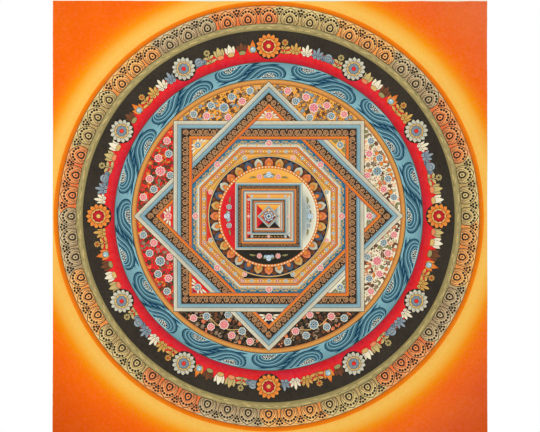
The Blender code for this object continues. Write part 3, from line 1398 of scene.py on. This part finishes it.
@effect({"Place": PLACE, "From Middle": NUMBER}, numbers("Grain", "Cloud", "Stroke", "Speck"))
def ground_pigment(b, place, from_middle):
    """How hand-ground paint lies: grains, soft clouds, strokes drawn round the middle, and specks."""
    grain = b.plus(b.times(b.noise(place, 210.0, 3.0, 0.62), 0.7), b.times(b.noise(place, 640.0, 1.0), 0.3))
    cloud = b.noise(place, 17.0, 3.0, 0.55)
    wavering = b.plus(from_middle, b.times(b.noise(place, 9.0), 0.003))
    rings = b.node("CombineXYZ", X=b.times(wavering, 420.0), Y=b.noise(place, 5.0)).outputs[0]
    spots = b.node("TexVoronoi", Vector=b.stretched(place, 1.0, 0.0, 1.0), Scale=SPECK_SCALE)
    chance = b.node("SeparateColor", Color=spots.outputs["Color"]).outputs[0]
    size = b.times(b.step(chance, 0.72, 1.0), SPECK_SIZE)
    speck = b.maths("LESS_THAN", spots.outputs["Distance"], size)
    return grain, cloud, b.noise(rings, 1.0, 2.0), speck


@effect(
    {"Body": COLOUR, "Wash Colour": COLOUR, **numbers(
        "Wash", "Load", "Grain", "Cloud", "Stroke", "Speck", "Thread", "Slub", "Rub", "Mottle", "Matt")},
    {"Color": COLOUR, **numbers("Roughness", "Height")},
)
def brushed_paint(
    b, body, wash_colour, wash, load, grain, cloud, streak, speck, thread, slub, rub, mottle, matt
):
    """Paint over primed cloth: the body colour, its wash, and what the hand and the cloth do to them."""
    uneven = b.plus(b.times(grain, 0.07), b.times(streak, 0.05))
    wash = b.maths("ADD", wash, b.times(uneven, b.step(wash, 0.0, 0.12)), clamp=True)
    colour = b.mix(wash, body, wash_colour)
    # Lightness, from the load of the brush, the ground pigment, and painted shade from the threads below
    # it, lighter on their tops and darker in the hollows between them.
    tone = b.plus(b.times(grain, 0.6), b.times(cloud, 0.45))
    tone = b.plus(tone, b.plus(b.times(streak, 0.2), b.times(slub, 0.3)))
    light = b.times(b.around(load, 0.035), b.around(b.times(tone, mottle), 1.0))
    light = b.times(light, b.around(b.plus(thread, -THREAD_MEAN), 0.03))
    hue = b.plus(b.times(load, 0.003), b.plus(b.times(cloud, 0.0025), 0.5))
    full = b.around(grain, -0.03)
    colour = b.node("HueSaturation", Hue=hue, Saturation=full, Value=light, Color=colour).outputs[0]
    colour = b.mix(b.times(speck, 0.5), colour, srgb(*SPECK_COLOUR))
    colour = b.mix(rub, colour, srgb(*PRIMED_CLOTH))
    rough = b.plus(matt, b.plus(b.times(grain, 0.05), b.times(cloud, 0.03)))
    rough = b.plus(rough, b.times(rub, 0.12))
    height = b.plus(b.times(thread, 0.35), b.times(slub, 0.12))
    height = b.plus(height, b.plus(b.times(grain, 0.25), b.times(streak, 0.08)))
    return colour, rough, b.minus(height, b.times(rub, 0.4))


@effect({"Place": PLACE, **numbers("To Edge", "Reach")}, numbers("Rub", "Scuff"))
def edge_wear(b, place, to_edge, reach):
    """Where the paint has rubbed off: nicks along the cut edge, and scuffs where it was rolled."""
    ragged = b.plus(to_edge, b.times(b.noise(place, 150.0, 4.0, 0.6), NICK_DEPTH))
    rub = b.minus(1.0, b.step(ragged, 0.0, reach))
    roll = b.noise(b.stretched(place, 2.5, 0.0, 46.0), 1.0, 3.0)
    return rub, b.times(b.step(roll, 1.05, 1.6), b.step(b.noise(place, 95.0, 3.0), 0.1, 1.3))


# ---------------- materials

Pigment = namedtuple("Pigment", "body wash matt mottle metal", defaults=(0.05, 0.0))
PIGMENTS = {
    "ground": Pigment(None, None, 0.74, 0.045),
    "rim": Pigment((251, 132, 6), (204, 100, 16), 0.72),
    "tangerine": Pigment((242, 154, 68), (218, 100, 34), 0.72),
    "marigold": Pigment((246, 184, 84), (240, 142, 34), 0.72),
    "amber": Pigment((234, 178, 88), (208, 136, 38), 0.72),
    "ochre": Pigment((220, 178, 108), (190, 142, 74), 0.74),
    "honey": Pigment((228, 168, 88), (196, 116, 58), 0.72, 0.07),
    "sand": Pigment((214, 186, 126), (196, 158, 98), 0.76, 0.08),
    "greige": Pigment((236, 210, 144), (190, 158, 98), 0.76, 0.10),
    "ash": Pigment((224, 199, 152), (174, 146, 106), 0.76, 0.10),
    "brick": Pigment((252, 178, 112), (233, 113, 58), 0.74, 0.09),
    "apricot": Pigment((252, 198, 122), (238, 145, 70), 0.74, 0.09),
    "straw": Pigment((222, 194, 126), (170, 151, 96), 0.76),
    "taupe": Pigment((168, 142, 114), (118, 90, 66), 0.74, 0.07),
    "stone": Pigment((218, 212, 186), (172, 168, 146), 0.76, 0.26),
    "coral": Pigment((234, 142, 94), (206, 100, 60), 0.72),
    "olive": Pigment((160, 152, 98), (118, 112, 66), 0.76, 0.07),
    "bronze": Pigment((200, 145, 96), (156, 106, 66), 0.56, 0.09, 0.25),
    "cord": Pigment((176, 160, 106), (138, 122, 76), 0.76, 0.10),
    "night": Pigment((57, 51, 42), (46, 42, 36), 0.66, 0.45),
    "ink": Pigment((48, 44, 37), (36, 32, 30), 0.66, 0.10),
    "umber": Pigment((96, 74, 52), (72, 54, 40), 0.72, 0.08),
    "brown": Pigment((130, 82, 54), (94, 54, 36), 0.72, 0.08),
    "slate": Pigment((92, 104, 118), (70, 82, 98), 0.72, 0.07),
    "red": Pigment((234, 46, 42), (166, 22, 44), 0.70),
    "rose": Pigment((250, 216, 206), (218, 62, 100), 0.72),
    "azure": Pigment((214, 232, 232), (26, 98, 126), 0.72),
    "cream": Pigment((248, 239, 210), (232, 215, 176), 0.74, 0.04),
    "foam": Pigment((226, 238, 240), (176, 208, 218), 0.74),
    "sky": Pigment((158, 190, 194), (106, 148, 162), 0.72, 0.18),
    "water": Pigment((240, 232, 202), (36, 106, 132), 0.72),
    "sea": Pigment((140, 188, 195), (6, 60, 84), 0.72, 0.06),
    "crest": Pigment((140, 190, 198), (92, 149, 168), 0.72, 0.06),
    "navy": Pigment((12, 49, 72), (30, 92, 124), 0.72, 0.07),
    "grey_blue": Pigment((160, 172, 176), (110, 128, 140), 0.74, 0.07),
    "lavender": Pigment((208, 204, 214), (156, 150, 176), 0.74),
    "gold": Pigment((232, 184, 96), (190, 134, 56), 0.50, 0.07, 0.25),
    "bare_cloth": Pigment((240, 228, 200), (216, 200, 166), 0.88, 0.06),
}
THREADS = 1800.0
EDGE_REACH = 0.0007
SCUFF_STRENGTH = 0.22
PAINT_SHINE, METAL_SHINE, COTTON_SHINE = 0.06, 0.30, 0.18

# The halo's colours from the medallion's rim outwards, each with its radius.
GLOWS = (
    (0.344, (247, 182, 74)), (0.350, (250, 190, 84)), (0.357, (250, 193, 86)), (0.367, (249, 177, 62)),
    (0.376, (249, 148, 14)), (0.386, (250, 124, 5)), (0.397, (249, 109, 5)), (0.415, (246, 103, 5)),
    (0.443, (242, 102, 6)), (0.484, (238, 102, 16)),
)
GLOW_UNEVEN = 0.0016
PaintedLight = namedtuple("PaintedLight", "colour radii way reach strength")
# Painted light over the halo towards the corners: a pinkish painted sheen at the right and deeper painted
# shade lower down, each between which radii and which places of the cloth.
PAINTED_SHEEN_AND_SHADE = (
    PaintedLight((232, 110, 66), (0.372, 0.480), "Across", (0.0, 0.26), 0.75),
    PaintedLight((206, 74, 5), (0.403, 0.510), "Down", (0.30, 0.60), 1.0),
)


def painted_ground(b, at, grain):
    """The halo round the medallion, which glows and then deepens to the corners of the cloth, with a
    painted sheen at its right-hand corners and painted shade at its lower ones.
    """
    stippled = b.plus(at["From Middle"], b.times(grain["Grain"], GLOW_UNEVEN))
    stippled = b.plus(stippled, b.times(grain["Cloud"], GLOW_UNEVEN))
    first, last = GLOWS[0][0], GLOWS[-1][0]
    ramp = b.node("ValToRGB", Fac=b.step(stippled, first, last, smooth=False))
    stops = ramp.color_ramp.elements
    for radius, _ in GLOWS[1:-1]:
        stops.new((radius - first) / (last - first))
    for stop, (_, colour) in zip(stops, GLOWS):
        stop.color = srgb(*colour)
    ground = ramp.outputs[0]
    # Each pass paints light over the ground: a sheen towards the right, shade towards the bottom.
    for painted_light in PAINTED_SHEEN_AND_SHADE:
        outer = b.step(at["From Middle"], *painted_light.radii, smooth=False)
        share = b.times(b.times(outer, b.step(at[painted_light.way], *painted_light.reach)), painted_light.strength)
        ground = b.mix(share, ground, srgb(*painted_light.colour))
    return ground


def new_material(name):
    """A new material, a bench for it and the inputs of its shader."""
    material = bpy.data.materials.new(name)
    material.use_nodes = True
    return material, Bench(material.node_tree), material.node_tree.nodes["Principled BSDF"].inputs


def cloth_bench(name):
    """A new material, its bench and its shader, with what every material of the sheet starts from:
    the point, where it lies on the cloth, the weave and the pigment's grain."""
    material, b, shader = new_material(name)
    place = b.node("TexCoord").outputs["Object"]
    at = b.group(place_on_cloth(), Place=place)
    weave = b.group(plain_weave(), Place=place, Threads=THREADS)
    grain = b.group(ground_pigment(), Place=place, From_Middle=at["From Middle"])
    return material, b, shader, place, at, weave, grain


def paint_material(name, pigment):
    """One pigment, brushed over the primed and burnished canvas."""
    material, b, shader, place, at, weave, grain = cloth_bench(name)
    if pigment.body:
        body, wash_colour = srgb(*pigment.body), srgb(*pigment.wash)
    else:
        body = wash_colour = painted_ground(b, at, grain)
    wash, load = (b.node("Attribute", {"attribute_name": n}).outputs["Fac"] for n in ("wash", "load"))
    wear = b.group(edge_wear(), Place=place, To_Edge=at["To Edge"], Reach=EDGE_REACH)
    rub = b.maths("MAXIMUM", wear["Rub"], b.times(wear["Scuff"], SCUFF_STRENGTH))
    paint = b.group(
        brushed_paint(), Body=body, Wash_Colour=wash_colour, Wash=wash, Load=load,
        Grain=grain["Grain"], Cloud=grain["Cloud"], Stroke=grain["Stroke"], Speck=grain["Speck"],
        Thread=weave["Thread"], Slub=weave["Slub"], Rub=rub, Mottle=pigment.mottle, Matt=pigment.matt,
    )
    bump = b.node("Bump", Strength=0.4, Distance=0.0003, Height=paint["Height"]).outputs[0]
    b.put_all(shader, Base_Color=paint["Color"], Roughness=paint["Roughness"], Normal=bump)
    b.put_all(shader, Specular_IOR_Level=METAL_SHINE if pigment.metal else PAINT_SHINE)
    if pigment.metal:
        b.put_all(shader, Metallic=b.maths("ADD", b.times(grain["Grain"], 0.08), pigment.metal, True))
    return material


GHOST_SOFT = 0.0035
# Dark bands of the front, as they show through the back: inner radius, outer radius and strength.
GHOSTS = (
    (RED_OUT, NIGHT_OUT, 0.22), (SEA_OUT, RED_OUT, 0.11), (GOLD_OUT, SEA_OUT, 0.13),
    (CORD_OUT, RIM, 0.06), (125.0, STAR_HALF, 0.05),
)
STAIN_COLOUR = (150, 128, 100)
HANDLED_WIDTH = 0.03


def cloth_material(name, pigment):
    """Bare cotton, with the painting's dark bands faintly showing through."""
    material, b, shader, place, at, weave, grain = cloth_bench(name)
    colour = b.mix(cotton_stain(b, place, at, grain), srgb(*pigment.body), srgb(*STAIN_COLOUR))
    # Painted shade in the weave: the cotton is drawn lighter on the threads' tops and darker in the hollows
    # between them.
    light = b.around(b.plus(weave["Thread"], -THREAD_MEAN), 0.10)
    light = b.times(light, b.around(b.plus(weave["Slub"], grain["Grain"]), pigment.mottle))
    colour = b.node("HueSaturation", Value=light, Color=colour).outputs[0]
    rough = b.plus(b.times(weave["Slub"], 0.04), pigment.matt)
    height = b.plus(weave["Thread"], b.times(weave["Slub"], 0.35))
    bump = b.node("Bump", Strength=0.6, Distance=0.0002, Height=height).outputs[0]
    b.put_all(shader, Base_Color=colour, Roughness=rough, Normal=bump)
    b.put_all(shader, Specular_IOR_Level=COTTON_SHINE, Sheen_Weight=0.12, Sheen_Roughness=0.5)
    return material


def cotton_stain(b, place, at, grain):
    """How dark the bare cotton is: size stains, show-through and the marks of handling."""
    stain = b.times(b.step(grain["Cloud"], 0.2, 1.6), 0.10)
    stain = b.plus(stain, b.times(b.step(b.noise(place, 7.0, 3.0, 0.6), -0.2, 1.0), 0.09))
    radius = b.plus(at["From Middle"], b.times(grain["Cloud"], 0.0022))
    for inner, outer, strength in GHOSTS:
        inner, outer = inner * MM, outer * MM
        from_inner = b.step(radius, inner - GHOST_SOFT, inner + GHOST_SOFT)
        to_outer = b.step(radius, outer + GHOST_SOFT, outer - GHOST_SOFT)
        stain = b.plus(stain, b.times(b.times(from_inner, to_outer), strength))
    stain = b.times(stain, b.around(grain["Grain"], 0.25))
    handled = b.times(b.minus(1.0, b.step(at["To Edge"], 0.0, HANDLED_WIDTH)), 0.12)
    return b.maths("ADD", stain, b.times(handled, b.around(grain["Cloud"], 0.5)), True)


# ---------------- building it all

SHARP_FROM = 40


def painted_sheet():
    """The painted cloth, which stands in for the CAD's plain one."""
    mesh, points, faces, shapes = sheet_mesh(whole_painting())
    slots = {}
    for name, pigment in PIGMENTS.items():
        slots[name] = len(slots)
        maker = cloth_material if name == "bare_cloth" else paint_material
        mesh.materials.append(maker(name, pigment))
    paint_faces(mesh, points, faces, shapes, slots)
    mesh.shade_smooth()
    mesh.set_sharp_from_angle(angle=radians(SHARP_FROM))
    sheet = linked("painted_sheet", mesh)
    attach(sheet, "root")
    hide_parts("painted_canvas")


def linked(name, data):
    """A new object in the scene."""
    thing = bpy.data.objects.new(name, data)
    bpy.context.collection.objects.link(thing)
    return thing


# The photo is 540 pixels wide, and the cloth takes up 434.5 of them.
PHOTO_WIDTH = 540
PIXEL = WIDTH / 434.5
CAMERA_DISTANCE = 4.0
SENSOR = 36.0
# How many pixels the view's middle lies above the cloth's.
VIEW_ABOVE = 0.85
FLOOR_BELOW = 0.35
FLOOR_SIZE = 3.0
FLOOR_COLOUR = (0.86, 0.86, 0.85, 1)
ROOM_LIGHT = 0.74
LAMP_SIZE = (1.6, 1.2)
LAMP_POWER = 22
LAMP_PLACE = (-0.9, -1.9, 1.0)
LAMP_TURN = (56, 0, -25)


def camera():
    """Square on to the cloth, from far enough for the photo's flat view."""
    data = bpy.data.cameras.new("camera")
    data.sensor_width = SENSOR
    data.lens = SENSOR * CAMERA_DISTANCE / (PHOTO_WIDTH * PIXEL)
    data.clip_end = 50
    eye = linked("camera", data)
    eye.location = (0, -CAMERA_DISTANCE, -DROP / 2 + VIEW_ABOVE * PIXEL)
    eye.rotation_euler = (radians(90), 0, 0)
    bpy.context.scene.camera = eye


def room():
    """A white room, which lights the cloth a little less brightly than it shows itself."""
    scene = bpy.context.scene
    scene.view_settings.view_transform = "Standard"
    scene.world = bpy.data.worlds.new("room")
    scene.world.use_nodes = True
    b = Bench(scene.world.node_tree)
    seen = b.node("LightPath").outputs["Is Camera Ray"]
    strength = b.node("MapRange", Value=seen, To_Min=ROOM_LIGHT, To_Max=1.0).outputs["Result"]
    background = scene.world.node_tree.nodes["Background"].inputs
    b.put_all(background, Color=(1, 1, 1, 1), Strength=strength)


def pale_floor():
    """A plain floor below the cloth."""
    bpy.ops.mesh.primitive_plane_add(size=FLOOR_SIZE, location=(0, 0, -DROP - FLOOR_BELOW))
    floor = bpy.context.active_object
    floor.name = "floor"
    material, b, shader = new_material("pale_floor")
    b.put_all(shader, Base_Color=FLOOR_COLOUR, Roughness=0.8)
    floor.data.materials.append(material)


def soft_lamp():
    """One large soft lamp from the upper left."""
    lamp = bpy.data.lights.new("soft_lamp", "AREA")
    lamp.shape = "RECTANGLE"
    lamp.size, lamp.size_y = LAMP_SIZE
    lamp.energy = LAMP_POWER
    light = linked("soft_lamp", lamp)
    light.location = LAMP_PLACE
    light.rotation_euler = [radians(turn) for turn in LAMP_TURN]


painted_sheet()
camera()
room()
pale_floor()
soft_lamp()
